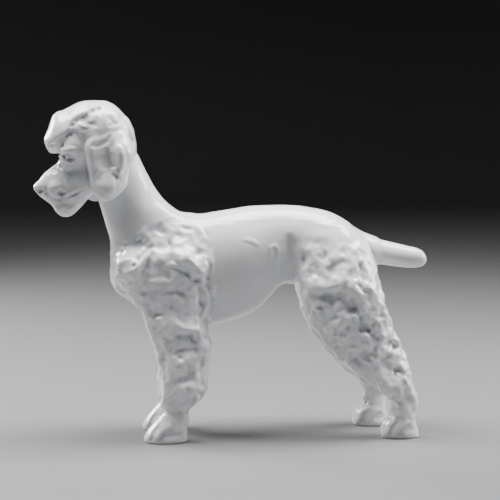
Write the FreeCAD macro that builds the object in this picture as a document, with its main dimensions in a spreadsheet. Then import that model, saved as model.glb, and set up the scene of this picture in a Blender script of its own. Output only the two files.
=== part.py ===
"""Standing poodle figurine in glazed porcelain, as the slip-cast pieces that are luted together before firing.

Row frame, millimetres: the dog stands on Z = 0, faces -X and has its left side at -Y. The origin is under
the middle of its length. Every form is a loft through elliptical stations. The hollow forms are lofted
twice, once outside and once a wall further in. The fused figure is then divided at the luting planes.
"""

import FreeCAD
import Part
import os

from FreeCAD import Placement, Rotation, Vector

UPRIGHT = Rotation(Vector(0, 0, 1), Vector(0, 1, 0), Vector(1, 0, 0), "XYZ")
CROSSWISE = Rotation(Vector(0, 1, 0), Vector(0, 0, 1), Vector(1, 0, 0), "XYZ")
LEVEL = Rotation()
SIDES = {"left": -1, "right": 1}

SIZES = {
    "wall": (3.0, "thickness of the cast wall"),
    "front_leg_plane": (60.0, "height of the luting plane of the front legs"),
    "rear_leg_plane": (78.0, "height of the luting plane of the rear legs"),
    "neck_plane_x": (-70.0, "a point of the neck's luting plane, which follows the clip line of the mane"),
    "neck_plane_height": (112.5, "height of that point"),
    "neck_plane_slope": (25.0, "slope of the neck's luting plane, in degrees"),
    "tail_plane_x": (84.0, "the tail's luting plane"),
    "tail_seat_half_width": (9.0, "half width of the tail's seat on the croup"),
    "head_turn": (6.0, "how far the head turns to the dog's left, in degrees"),
    "head_axis_x": (-70.0, "the upright axis that the head turns about"),
    "far_hock_height": (48.0, "below this height the right hind leg steps forward"),
    "vent_x": (6.0, "firing vent in the belly"),
    "vent_radius": (1.5, "radius of the firing vent"),
}

# Forms with stations across X: x, height of the centre, half height, half width.
TRUNK = {
    "breast": (-62, 96, 17, 13),
    "shoulder": (-44, 98, 30, 20),
    "withers": (-26, 98, 32.5, 22.5),
    "girth": (-11, 98.7, 32.9, 22.8),
    "ribs": (4, 101.5, 32.3, 22),
    "last_rib": (16, 105.3, 29.3, 20),
    "flank": (24, 109.6, 25, 18.4),
    "loin": (31, 111.6, 23.1, 17.6),
    "hip": (46, 111.8, 21.4, 18.6),
    "croup": (60, 110.8, 18.4, 17),
    "rump": (71, 108, 14.8, 13),
    "dock": (80, 107.5, 9.5, 8),
}
MANE = {
    "sternum": (-72.4, 98.5, 4.5, 4),
    "forechest": (-69.5, 97.5, 13.5, 12),
    "breast": (-62, 97.5, 19, 18.5),
    "shoulder": (-50, 95.5, 27.5, 25),
    "arm": (-38, 95, 33, 28),
    "girth": (-25, 96.5, 34.2, 28.6),
    "clip_edge": (-13.5, 98, 34.2, 26),
}
MUZZLE = {
    "nose": (-114.8, 145.8, 3, 2.8),
    "nostrils": (-111.5, 146.5, 6.8, 5.6),
    "lips": (-105, 146.8, 11.2, 8.2),
    "chin": (-98, 145.8, 16.2, 9.8),
    "jaw": (-90, 147, 17, 11.2),
    "cheek": (-82, 151, 14.6, 11.6),
    "throat": (-74, 152.6, 10.4, 9),
}
SKULL = {
    "brow": (-100, 163, 5.6, 5.2),
    "eyes": (-96, 163, 9.6, 9.2),
    "temple": (-88, 163.6, 13.4, 12.8),
    "cheek": (-78, 164, 16, 14.6),
    "occiput": (-66, 164.6, 14.6, 13.6),
    "nape": (-58.5, 166, 9, 8),
}
TOPKNOT = {
    "visor": (-108, 172.8, 3.4, 6.5),
    "forelock": (-104.5, 176, 9.4, 11.8),
    "brow": (-98, 177, 12.6, 15.6),
    "temple": (-91, 177, 16, 17.6),
    "crown": (-83, 177, 18.5, 19),
    "vertex": (-75, 177, 18.8, 19.2),
    "occiput": (-67, 176, 16.8, 18),
    "nape": (-60, 174.6, 12.6, 14.6),
    "nape_end": (-55.8, 173.6, 7.6, 8.6),
}
TAIL = {
    "root": (74, 109.5, 7.6, 7.4),
    "base": (84, 108, 7.4, 7.2),
    "middle": (94, 105.8, 7, 6.8),
    "brush": (104, 104.2, 6.8, 6.6),
    "end": (111, 103.6, 5.4, 5.2),
    "tip": (114.6, 103.2, 2.2, 2.1),
}

# Forms with level stations: height, x of the centre, half length, y of the centre, half width.
NECK = {
    "base": (104, -46, 22, 0, 17),
    "clip": (116, -49.5, 22.4, 0, 16.4),
    "shoulder": (124, -51.5, 22.6, 0, 15.8),
    "bend": (132, -55, 21.6, 0, 15),
    "throat": (138, -58.9, 19.3, 0, 14.4),
    "middle": (146, -63, 17.6, 0, 14),
    "upper": (156, -66.6, 15.6, 0, 13),
    "poll": (165, -68, 12.6, 0, 10.4),
}
FRONT_LEG = {
    "sole": (0, -40.8, 13.1, 18.2, 9.6),
    "toes": (6, -40.4, 12.9, 18.2, 10),
    "knuckles": (11, -38.4, 11.4, 18.2, 9),
    "pastern": (15.5, -33.8, 9, 18, 7.6),
    "cuff": (20, -31, 11.2, 18, 9.4),
    "shin": (26, -29.8, 13.7, 17.8, 11),
    "knee": (34, -29.6, 14.5, 17.4, 11.6),
    "forearm": (45, -29.8, 15.8, 16.9, 12),
    "elbow": (56, -30.6, 17.2, 16.5, 12.4),
    "arm": (68, -32.6, 18.6, 15.5, 12.5),
    "shoulder": (80, -34, 18.5, 13.5, 11.5),
}
REAR_LEG = {
    "sole": (0, 97.3, 12, 18.6, 9.6),
    "toes": (5, 97.3, 11.4, 18.6, 9.8),
    "knuckles": (10, 97.8, 9.6, 18.6, 8.4),
    "pastern": (15.5, 97.7, 8.5, 18.6, 7.4),
    "shank": (22, 97, 9.2, 18.6, 7.8),
    "fringe": (28, 93.5, 11.5, 18.6, 8.6),
    "hock": (34, 87.5, 15.9, 18.6, 10),
    "hock_point": (42, 82.8, 19.6, 18.6, 11.6),
    "gaskin": (50, 77.8, 23.6, 18.5, 12.6),
    "stifle": (59, 71.4, 24, 18.3, 13.2),
    "thigh": (68, 67.2, 24.2, 17.8, 13.5),
    "breech": (80, 63.7, 25.4, 16.8, 13.6),
    "haunch": (92, 61.2, 24.6, 15, 13),
    "hip": (104, 59.6, 22.8, 12.8, 12),
    "croup": (115, 57.6, 18.6, 10, 9.4),
    "croup_top": (124, 56, 11, 6, 6),
}
EAR = {
    "tip": (138.6, -73.6, 3, 15.5, 3),
    "lobe": (141.4, -74.2, 6.8, 14.8, 5.4),
    "fringe": (146.5, -72.6, 9.8, 14.6, 6.6),
    "body": (154, -72.2, 10.8, 14.6, 7.2),
    "waist": (160.5, -71.4, 12.2, 14.6, 7.4),
    "fold": (166.5, -71, 14.4, 15, 7.6),
    "shoulder": (172, -72, 12.9, 15, 7.3),
    "root": (176.4, -72.8, 9.4, 15.5, 5.5),
    "top": (178.9, -73.2, 4.6, 15.8, 3),
}
FAR_REAR_STEP = {"sole": -11.6, "toes": -11.4, "knuckles": -11, "pastern": -10.2, "shank": -8.6, "fringe": -6.4,
                 "hock": -4, "hock_point": -1.6}

doc = FreeCAD.newDocument("poodle_figurine")
sheet = doc.addObject("Spreadsheet::Sheet", "sizes")
sheet_row = 0


def enter(alias, value, note=""):
    """Puts one named number in the sheet."""
    global sheet_row
    sheet_row += 1
    sheet.set(f"A{sheet_row}", alias)
    sheet.set(f"B{sheet_row}", str(value))
    sheet.set(f"C{sheet_row}", note)
    sheet.setAlias(f"B{sheet_row}", alias)


def enter_form(form, stations, fields):
    for station, values in stations.items():
        for field, value in zip(fields, values):
            enter(f"{form}_{station}_{field}", value)


ACROSS = ("x", "height", "half_height", "half_width")
LEVELS = ("height", "x", "half_length", "y", "half_width")
for name, (value, note) in SIZES.items():
    enter(name, value, note)
for name, stations in (("trunk", TRUNK), ("mane", MANE), ("muzzle", MUZZLE), ("skull", SKULL),
                       ("topknot", TOPKNOT), ("tail", TAIL)):
    enter_form(name, stations, ACROSS)
for name, stations in (("neck", NECK), ("front_leg", FRONT_LEG), ("rear_leg", REAR_LEG), ("ear", EAR)):
    enter_form(name, stations, LEVELS)
for station, step in FAR_REAR_STEP.items():
    enter(f"rear_leg_{station}_step", step)
doc.recompute()


def bind(feature, **expressions):
    """Binds properties to sheet cells. A double underscore stands for a dot in the property's path."""
    for path, expression in expressions.items():
        feature.setExpression(path.replace("__", "."), expression)


def ring(name, rotation, x, y, z, major, minor):
    ellipse = doc.addObject("Part::Ellipse", name)
    ellipse.Placement = Placement(Vector(), rotation)
    ellipse.MajorRadius = 100
    bind(ellipse, Placement__Base__x=x, Placement__Base__y=y, Placement__Base__z=z, MinorRadius=minor,
         MajorRadius=major)
    return ellipse


def loft(name, rings):
    form = doc.addObject("Part::Loft", name)
    form.Sections = rings
    form.Solid = True
    form.MaxDegree = 3
    return form


def across_form(form, stations, wide=False, inset=None, keep=None):
    """A loft through upright stations. wide says that each is wider than it is high."""
    rings = []
    less = f" - sizes.{inset}" if inset else ""
    for station in keep or stations:
        cell = f"sizes.{form}_{station}_"
        high = cell + "half_height" + less
        broad = cell + "half_width" + less
        major, minor = (broad, high) if wide else (high, broad)
        rings.append(ring(f"{form}_{station}", CROSSWISE if wide else UPRIGHT, cell + "x", "0 mm",
                          cell + "height", major, minor))
    return loft(form + ("_cavity" if inset else "_form"), rings)


def level_form(form, stations, side=0, inset=None, keep=None, steps=()):
    """A loft through level stations. side is -1 on the dog's left and 1 on its right."""
    rings = []
    less = f" - sizes.{inset}" if inset else ""
    for station in keep or stations:
        cell = f"sizes.{form}_{station}_"
        x = cell + "x" + (f" + {cell}step" if station in steps else "")
        rings.append(ring(f"{form}_{station}", LEVEL, x, f"{side} * {cell}y", cell + "height",
                          cell + "half_length" + less, cell + "half_width" + less))
    return loft(form + ("_cavity" if inset else "_form"), rings)


def fuse(name, forms):
    joined = doc.addObject("Part::MultiFuse", name)
    joined.Shapes = forms
    joined.Refine = False
    return joined


def cut(name, base, tool):
    result = doc.addObject("Part::Cut", name)
    result.Base = base
    result.Tool = tool
    result.Refine = False
    return result


def common(name, base, tool):
    result = doc.addObject("Part::Common", name)
    result.Base = base
    result.Tool = tool
    result.Refine = False
    return result


def turn_head(feature):
    """Turns a form of the head about the upright axis in the neck."""
    bind(feature, Placement__Rotation__Angle="sizes.head_turn",
         Placement__Base__x="sizes.head_axis_x * (1 - cos(sizes.head_turn))",
         Placement__Base__y="-sizes.head_axis_x * sin(sizes.head_turn)")
    return feature


def stations_from(stations, first, last=None):
    names = list(stations)
    return names[names.index(first):(names.index(last) + 1 if last else None)]


# The outside of the figure.
legs = {}
for side, sign in SIDES.items():
    steps = FAR_REAR_STEP if side == "right" else ()
    legs[side, "front"] = level_form("front_leg", FRONT_LEG, sign)
    legs[side, "rear"] = level_form("rear_leg", REAR_LEG, sign, steps=steps)
head_form = turn_head(fuse("head_form", [across_form("muzzle", MUZZLE), across_form("skull", SKULL),
                                         across_form("topknot", TOPKNOT, wide=True)]))
neck_form = level_form("neck", NECK)
tail_form = across_form("tail", TAIL)
body_form = fuse("body_form", [across_form("mane", MANE), across_form("trunk", TRUNK), tail_form, *legs.values()])
outside = fuse("outside", [body_form, fuse("neck_and_head_form", [neck_form, head_form])])

# The cavity that the poured-off slip leaves. Paws, pasterns, nose, ears and tail are cast solid.
cavities = []
for side, sign in SIDES.items():
    steps = FAR_REAR_STEP if side == "right" else ()
    cavities.append(level_form("front_leg", FRONT_LEG, sign, "wall", stations_from(FRONT_LEG, "cuff")))
    cavities.append(level_form("rear_leg", REAR_LEG, sign, "wall", stations_from(REAR_LEG, "fringe"), steps))
cavities.append(across_form("trunk", TRUNK, inset="wall", keep=stations_from(TRUNK, "breast", "rump")))
cavities.append(across_form("mane", MANE, inset="wall", keep=stations_from(MANE, "forechest", "girth")))
cavities.append(level_form("neck", NECK, inset="wall"))
head_cavity = turn_head(fuse("head_cavity", [
    across_form("muzzle", MUZZLE, inset="wall", keep=stations_from(MUZZLE, "lips")),
    across_form("skull", SKULL, inset="wall", keep=stations_from(SKULL, "eyes", "occiput")),
    across_form("topknot", TOPKNOT, wide=True, inset="wall", keep=stations_from(TOPKNOT, "brow", "nape")),
]))
cavities.append(head_cavity)
cavity = fuse("cavity", cavities)
vent = doc.addObject("Part::Cylinder", "vent")
vent.Height = 24
bind(vent, Radius="sizes.vent_radius", Placement__Base__x="sizes.vent_x", Placement__Base__z="sizes.front_leg_plane")
shell = cut("shell", outside, fuse("hollows", [cavity, vent]))



def slab(name, length, width, height, **expressions):
    """A block that takes one region of the shell."""
    box = doc.addObject("Part::Box", name)
    box.Length, box.Width, box.Height = length, width, height
    bind(box, **expressions)
    return box


# The luting planes divide the shell. Neighbouring pieces meet face to face.
regions = {}
for side, sign in SIDES.items():
    y = "-50 mm" if sign < 0 else "0 mm"
    regions[f"front_{side}_leg"] = slab("front_region", 70, 50, 60, Height="sizes.front_leg_plane",
                                        Placement__Base__x="-70 mm", Placement__Base__y=y)
    regions[f"rear_{side}_leg"] = slab("rear_region", 90, 50, 78, Height="sizes.rear_leg_plane",
                                       Placement__Base__x="30 mm", Placement__Base__y=y)
neck_region = slab("neck_region", 400, 100, 200,
                   Placement__Base__x="sizes.neck_plane_x - 200 * cos(sizes.neck_plane_slope)",
                   Placement__Base__y="-50 mm",
                   Placement__Base__z="sizes.neck_plane_height - 200 * sin(sizes.neck_plane_slope)")
neck_region.Placement.Rotation = Rotation(Vector(0, 1, 0), 0)
bind(neck_region, Placement__Rotation__Angle="-sizes.neck_plane_slope")
regions["neck_and_head"] = neck_region
regions["tail"] = slab("tail_region", 50, 18, 40, Width="2 * sizes.tail_seat_half_width",
                       Placement__Base__x="sizes.tail_plane_x", Placement__Base__y="-sizes.tail_seat_half_width",
                       Placement__Base__z="92 mm")
nodes = {name: common(name, shell, region) for name, region in regions.items()}
nodes["torso"] = cut("torso", shell, fuse("all_regions", list(regions.values())))
for side, sign in SIDES.items():
    nodes[f"{side}_ear"] = cut(f"{side}_ear", turn_head(level_form("ear", EAR, sign)), outside)

doc.recompute()
os.makedirs("parts", exist_ok=True)
for feature in doc.Objects:
    if {"Invalid", "Error"} & set(feature.State):
        raise RuntimeError(f"{feature.Name} did not recompute: {feature.State}")
for name, feature in nodes.items():
    feature.Label = name
    shape = feature.Shape
    if shape.isNull() or not shape.isValid() or len(shape.Solids) != 1:
        raise RuntimeError(f"{name} is not one valid solid")
    shape.exportStep(f"parts/{name}.step")
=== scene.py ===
"""The looks of the porcelain poodle: one clay form in a distance field, divided into its castings.

Lengths in the sculpture are millimetres in the row frame. The dog faces -X and its left side is at -Y.
The boxes of the castings give the planes between them, the soles, the nose and the crown.
"""

import math

import bpy
import numpy as np
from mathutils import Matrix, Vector


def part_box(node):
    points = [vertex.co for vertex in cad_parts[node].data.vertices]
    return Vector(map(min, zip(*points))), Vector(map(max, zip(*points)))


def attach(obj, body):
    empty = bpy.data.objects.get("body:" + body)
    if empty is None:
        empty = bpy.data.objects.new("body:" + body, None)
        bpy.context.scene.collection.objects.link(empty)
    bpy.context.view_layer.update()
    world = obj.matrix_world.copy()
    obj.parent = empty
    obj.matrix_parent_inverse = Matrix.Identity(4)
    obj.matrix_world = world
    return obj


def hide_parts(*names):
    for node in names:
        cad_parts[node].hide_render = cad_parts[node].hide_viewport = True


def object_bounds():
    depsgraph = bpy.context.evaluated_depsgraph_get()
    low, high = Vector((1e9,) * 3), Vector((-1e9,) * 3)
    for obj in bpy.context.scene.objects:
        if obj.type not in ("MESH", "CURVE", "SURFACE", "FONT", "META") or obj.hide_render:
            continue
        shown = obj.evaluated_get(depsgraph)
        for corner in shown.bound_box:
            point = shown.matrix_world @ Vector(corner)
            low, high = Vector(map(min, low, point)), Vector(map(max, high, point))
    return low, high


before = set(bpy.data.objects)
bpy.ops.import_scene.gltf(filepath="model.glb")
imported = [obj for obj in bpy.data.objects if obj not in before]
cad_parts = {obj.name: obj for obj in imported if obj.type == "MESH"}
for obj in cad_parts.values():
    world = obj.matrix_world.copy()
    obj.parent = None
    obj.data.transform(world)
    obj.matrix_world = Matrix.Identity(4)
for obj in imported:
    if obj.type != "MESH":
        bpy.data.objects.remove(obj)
CAD_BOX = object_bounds()

MM = 0.001
STEP = 0.72  # grid spacing of the clay, in millimetres
FINE = 0.44  # the spacing round the head
FAR = 60.0  # a distance outside everything
LEFT, RIGHT = -1, 1
FORE_END, HIND_START = 10, 20  # x under the belly: behind the forequarters and ahead of the hind legs
SEED = 41


def edges(node):
    """The low and the high corner of a casting in millimetres."""
    low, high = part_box(node)
    return np.array(low) / MM, np.array(high) / MM


GROUND = edges("front_left_leg")[0][2]
FRONT_PLANE = edges("front_left_leg")[1][2]
REAR_PLANE = edges("rear_left_leg")[1][2]
TAIL_PLANE = edges("tail")[0][0]
NOSE_TIP = edges("neck_and_head")[0][0]
NECK_LOW = edges("neck_and_head")[0][2]
CROWN = edges("neck_and_head")[1][2]


# ---------------------------------------------------------------- the clay

def smooth_min(a, b, reach):
    """The smaller value, rounded where the two are less than reach apart."""
    overlap = np.maximum(reach - np.abs(a - b), 0) / reach
    return np.minimum(a, b) - overlap**3 * (reach / 6)


def smooth_max(a, b, reach):
    """The larger value, rounded in the same way."""
    return -smooth_min(-a, -b, reach)


def ease(t):
    """Rises smoothly from 0 to 1 as t does."""
    t = np.clip(t, 0, 1)
    return t * t * (3 - 2 * t)


def spline(rows, at):
    """The columns of rows as smooth functions of the first one."""
    rows = np.array(rows, float)
    rows = rows[np.argsort(rows[:, 0])]
    s, v = rows[:, 0], rows[:, 1:]
    slope = np.gradient(v, s, axis=0)
    at = np.clip(np.asarray(at, float), s[0], s[-1])
    i = np.clip(np.searchsorted(s, at) - 1, 0, len(s) - 2)
    gap = (s[i + 1] - s[i])[..., None]
    t = ((at - s[i]) / (s[i + 1] - s[i]))[..., None]
    a, b, da, db = v[i], v[i + 1], slope[i] * gap, slope[i + 1] * gap
    out = a + da * t + (3 * (b - a) - 2 * da - db) * t**2 + (2 * (a - b) + da + db) * t**3
    return [out[..., c].astype(np.float32) for c in range(v.shape[1])]


def oval(a, b, ra, rb):
    """Distance to an ellipse in its plane, close to true near its line."""
    reach = np.sqrt((a / ra) ** 2 + (b / rb) ** 2) + 1e-6
    return (reach - 1) * reach / (np.sqrt((a / ra**2) ** 2 + (b / rb**2) ** 2) + 1e-6)


class Form:
    """A distance function and the box that it fills."""

    def __init__(self, low, high, distance):
        self.low, self.high, self.distance = np.array(low, float), np.array(high, float), distance


def across(rows):
    """A form through upright sections. Rows: x, height, up, down, half width."""
    table = np.array(rows, float)

    def distance(x, y, z):
        mid, up, down, out = spline(rows, x)
        dz = z - mid
        d = oval(dz, y, np.where(dz > 0, up, down), out)
        return np.maximum(d, np.maximum(table[:, 0].min() - x, x - table[:, 0].max()))

    reach = table[:, 2:].max()
    low = (table[:, 0].min(), -reach, (table[:, 1] - table[:, 3]).min())
    high = (table[:, 0].max(), reach, (table[:, 1] + table[:, 2]).max())
    return Form(low, high, distance)


def level(rows, side=0):
    """A form through level sections. Rows: height, x, half length, y, half width."""
    table = np.array(rows, float)

    def distance(x, y, z):
        mid, reach, off, out = spline(rows, z)
        d = oval(x - mid, y - side * off, reach, out)
        return np.maximum(d, np.maximum(table[:, 0].min() - z, z - table[:, 0].max()))

    middle = side * table[:, 3]
    low = ((table[:, 1] - table[:, 2]).min(), (middle - table[:, 4]).min(), table[:, 0].min())
    high = ((table[:, 1] + table[:, 2]).max(), (middle + table[:, 4]).max(), table[:, 0].max())
    return Form(low, high, distance)


def ball(centre, radii, pitch=0.0):
    """An ellipsoid, turned about Y by pitch degrees."""
    c, r = np.array(centre, float), np.array(radii, float)
    cos, sin = math.cos(math.radians(pitch)), math.sin(math.radians(pitch))
    m = np.array([[cos, 0, sin], [0, 1, 0], [-sin, 0, cos]])
    reach = np.sqrt(m**2 @ r**2)

    def distance(x, y, z):
        p = [x - c[0], y - c[1], z - c[2]]
        q = [p[0] * m[0, i] + p[1] * m[1, i] + p[2] * m[2, i] for i in range(3)]
        k1 = np.sqrt(sum((q[i] / r[i]) ** 2 for i in range(3))) + 1e-6
        k2 = np.sqrt(sum((q[i] / r[i] ** 2) ** 2 for i in range(3))) + 1e-6
        return (k1 - 1) * k1 / k2

    return Form(c - reach, c + reach, distance)


def rope(points, radii):
    """Round cones along a line of points."""
    p, r = np.array(points, float), np.array(radii, float)

    def distance(x, y, z):
        best = None
        for a, b, ra, rb in zip(p[:-1], p[1:], r[:-1], r[1:]):
            ab = b - a
            w = [x - a[0], y - a[1], z - a[2]]
            t = np.clip((w[0] * ab[0] + w[1] * ab[1] + w[2] * ab[2]) / (ab @ ab), 0, 1)
            d = np.sqrt(sum((w[i] - t * ab[i]) ** 2 for i in range(3))) - (ra + (rb - ra) * t)
            best = d if best is None else smooth_min(best, d, 0.3 * max(ra, rb))
        return best

    return Form(p.min(0) - r.max(), p.max(0) + r.max(), distance)


def grid_line(low, high, fine_low, fine_high):
    """Grid places along one axis, closer together between fine_low and fine_high."""
    places = [low]
    while places[-1] < high:
        places.append(places[-1] + (FINE if fine_low <= places[-1] < fine_high else STEP))
    return np.array(places)


class Clay:
    """A signed distance field on a grid, which forms are added to and cut from."""

    def __init__(self, low, high, fine_low, fine_high):
        self.axes = [grid_line(*ends) for ends in zip(low, high, fine_low, fine_high)]
        self.field = np.full([len(a) for a in self.axes], FAR, np.float32)

    def window(self, low, high, margin):
        """The slices of the grid round a box, and their places shaped to broadcast."""
        cuts = []
        for axis, first, last in zip(self.axes, low, high):
            start = np.searchsorted(axis, first - margin)
            cuts.append(slice(start, max(np.searchsorted(axis, last + margin) + 1, start)))
        x, y, z = (a[c].astype(np.float32) for a, c in zip(self.axes, cuts))
        return tuple(cuts), x[:, None, None], y[None, :, None], z[None, None, :]

    def places(self):
        x, y, z = (a.astype(np.float32) for a in self.axes)
        return x[:, None, None], y[None, :, None], z[None, None, :]

    def copy(self):
        other = Clay.__new__(Clay)
        other.axes, other.field = self.axes, self.field.copy()
        return other

    def add(self, form, blend=1.0):
        cuts, x, y, z = self.window(form.low, form.high, blend + 5)
        self.field[cuts] = smooth_min(self.field[cuts], form.distance(x, y, z), blend)

    def cut(self, form, blend=1.0):
        cuts, x, y, z = self.window(form.low, form.high, blend + 2)
        self.field[cuts] = smooth_max(self.field[cuts], -form.distance(x, y, z), blend)

    def soften(self, passes=1):
        for _ in range(passes):
            for axis in range(3):
                f = np.moveaxis(self.field, axis, 0)
                f[1:-1] = 0.25 * (f[:-2] + 2 * f[1:-1] + f[2:])

    def slopes(self):
        return np.gradient(self.field, *self.axes)

    def true_up(self):
        """Divides the field by its slope, so that it measures millimetres near the surface."""
        gx, gy, gz = self.slopes()
        steepness = np.clip(np.sqrt(gx * gx + gy * gy + gz * gz), 0.35, 2.5)
        self.field = (self.field / steepness).astype(np.float32)

    def noise(self, scale, seed):
        """Smooth random values with bumps about scale apart, over the whole grid."""
        rng = np.random.default_rng(seed)
        weights, sizes = [], []
        for axis in self.axes:
            count = int((axis[-1] - axis[0]) / scale) + 5
            at = (axis - axis[0]) / scale + 1
            i = np.floor(at).astype(int)
            t = at - i
            w = np.zeros((len(axis), count), np.float32)
            rows = np.arange(len(axis))
            basis = ((1 - t) ** 3, 3 * t**3 - 6 * t**2 + 4, -3 * t**3 + 3 * t**2 + 3 * t + 1, t**3)
            for k, b in enumerate(basis):
                w[rows, i - 1 + k] = b / 6
            weights.append(w)
            sizes.append(count)
        out = rng.normal(size=sizes).astype(np.float32)
        out = np.tensordot(weights[0], out, (1, 0))
        out = np.einsum("jb,ibc->ijc", weights[1], out, optimize=True)
        return np.einsum("kc,ijc->ijk", weights[2], out, optimize=True) * 1.7


# ---------------------------------------------------------------- the body

TRUNK = [
    (-64, 97.5, 12, 13, 10), (-58, 97.5, 20, 21, 15), (-46, 98, 29, 30, 20), (-36, 98, 31.5, 32, 22),
    (-26, 98, 32.6, 32.4, 22.6), (-19, 98.2, 31.9, 32.6, 22.8), (-10.5, 98.7, 32.9, 33, 22.8),
    (4, 101.5, 32.4, 32.3, 22), (16, 105.3, 29.4, 29.4, 20), (23, 109, 25.8, 25.6, 18.6),
    (28, 111, 23.9, 22.9, 17.8), (36, 111.6, 23, 23, 17.4), (46, 111.8, 21.6, 22, 18),
    (53, 111.4, 20.8, 20, 17.6), (60, 110.8, 18.9, 18, 16.4), (66, 109.4, 16.6, 16.5, 14.6),
    (72, 108, 13.6, 14, 11.6), (78, 107.5, 10.4, 10, 9), (84, 107.4, 7.8, 7.4, 7),
]
NECK = [
    (100, -45, 22, 0, 15), (110, -47.6, 23.4, 0, 16.2), (116, -49, 22.9, 0, 16.2),
    (124, -51.3, 22.8, 0, 15.6), (132, -54.8, 21.6, 0, 14.8), (138, -58.8, 19.3, 0, 14.2),
    (146, -62.8, 17.2, 0, 13.6), (156, -66.4, 15.4, 0, 13), (165, -68, 12.6, 0, 11),
]
FRONT_LEG = [
    (13, -34.6, 6, 18, 6.4), (16.5, -34.7, 6.6, 18, 7.2), (20, -34.4, 9, 18, 8.6),
    (23, -32.7, 11.2, 18, 9.4), (26, -31.4, 12.6, 17.6, 10), (30, -30.5, 13.8, 17.3, 10.3),
    (36, -29.6, 14.4, 16.9, 10.4), (45, -29.9, 14.7, 16.4, 10.6), (52, -30.6, 16.2, 16, 10.8),
    (56, -31, 17.2, 15.8, 10.9), (62, -32.7, 16.9, 15.4, 11), (68, -33.8, 17.8, 14.8, 11.2),
    (78, -35.4, 19.2, 13.4, 11.8), (90, -38, 18, 11.4, 14), (102, -41, 14, 8.6, 14.4),
]
REAR_LEG = [
    (12, 98.2, 7.6, 18.6, 7.2), (16, 97.9, 8.4, 18.6, 7.6), (22, 97.6, 8.6, 18.4, 7.8),
    (26, 95.6, 10.2, 18.2, 8.4), (30, 91.6, 12.8, 17.8, 9.2), (36, 86.6, 16.4, 17.4, 10),
    (43, 82.6, 19.6, 17, 10.8), (50, 77.4, 21.6, 16.6, 11.6), (59, 71.4, 23.6, 16.3, 12.2),
    (68, 67, 24, 16.2, 12.8), (80, 63.4, 25, 15.8, 13.8), (92, 60.6, 24.2, 15, 14.4),
    (104, 58.6, 22.4, 12.6, 12), (114, 56.8, 18.6, 10.2, 9.6), (123, 55, 12, 7, 7),
]
FAR_STEP = [
    (0, -11.6), (10, -11), (16, -10), (22, -8.6), (28, -6.4), (34, -4.4), (42, -2), (55, 0), (124, 0),
]
TAIL = [
    (70, 109, 9, 9, 8.6), (78, 108.6, 8, 8, 7.8), (84, 107.6, 7.4, 7.4, 7.2), (94, 105.5, 7, 7, 6.8),
    (104, 103.8, 6.6, 6.6, 6.4), (110, 103, 5.8, 5.6, 5.6), (113.4, 102.4, 4, 3.8, 3.9),
    (115, 102.1, 1.6, 1.6, 1.6),
]


def step_forward(rows):
    """The right hind leg's sections, which stand ahead of the left one's."""
    shift, = spline(FAR_STEP, [r[0] for r in rows])
    return [(z, x + s, *rest) for (z, x, *rest), s in zip(rows, shift)]


# Height, and how far behind the toe tips the paw's front and rear lie. Then half its width.
FRONT_PAW = [
    (-3, 0.8, 24.6, 7.8), (0, 0.2, 25, 8.6), (2, 0, 25.2, 9), (5, 1.1, 25.2, 8.9), (7, 2.4, 25.2, 8.7),
    (10, 4.8, 25.5, 8.3), (12.5, 7, 26.4, 7.9), (14.5, 9, 26.4, 7.4), (17, 11.4, 25.6, 6.8),
    (19, 13, 25, 5),
]
REAR_PAW = [
    (-3, 0.8, 23.6, 7.4), (0, 0.3, 23.6, 8), (3, 0, 23, 8.6), (6, 0.4, 22, 8.6), (9, 1.6, 21.3, 8.3),
    (11, 3.6, 20.9, 8), (13, 6.4, 20.6, 7.6), (16, 7.8, 20.4, 7), (19, 8.6, 20.2, 5.4),
]
# The paws' places, and how far apart their grooves are.
FRONT_TOES = -53.4
REAR_TOES = {LEFT: 84.4, RIGHT: 74}
FRONT_PAW_OUT, REAR_PAW_OUT = 17.6, 18  # from the middle of the dog
TOE_SPREAD = 4.3


def toe_grooves(tip, y):
    """The grooves that part four toes, from the soles up over the paw."""
    for toe in (-TOE_SPREAD, 0, TOE_SPREAD):
        line = [(tip + 9.5, y + toe * 0.9, 14.4), (tip + 2.4, y + toe, 9.6), (tip - 0.6, y + toe * 1.2, 4),
                (tip - 0.6, y + toe * 1.25, -2)]
        yield rope(line, (0.3, 0.9, 1.2, 1.3))


def model_paw(clay, rows, tip, side, out):
    """A paw with its toe tips at x = tip: a wedge that rises to the hair, with toes and folded flanks."""
    sections = [(z, tip + (a + b) / 2, (b - a) / 2, out, w) for z, a, b, w in rows]
    clay.add(level(sections, side), 1.6)
    middle = side * out
    for groove in toe_grooves(tip, middle):
        clay.cut(groove, 1.2)
    folds = [
        ([(tip + 2.6, 2), (tip + 4.4, 7.4), (tip + 8.6, 12.4)], 3.4, 0.8, 1.4),
        ([(tip + 6.4, 2.4), (tip + 10, 7.6), (tip + 16, 10.8)], 4, 1.0, 1.6),
        ([(tip + 13, 5), (tip + 20, 5.6)], 3.4, -0.9),
        ([(tip + 22, 8.6), (tip + 23, 3)], 1.6, 0.7),
    ]
    for flank in (LEFT, RIGHT):
        for fold in folds:
            points, width, rise, steep = stroke_parts(fold)
            low, high = points.min(0), points.max(0)
            near, far = middle - 12, middle + 12
            cuts, x, y, z = clay.window((low[0], near, low[1]), (high[0], far, high[1]), width)
            height = stroke_height(points, width, rise, steep, x, z)
            clay.field[cuts] -= height * ease((flank * (y - middle) - 3) / 4)


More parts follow.
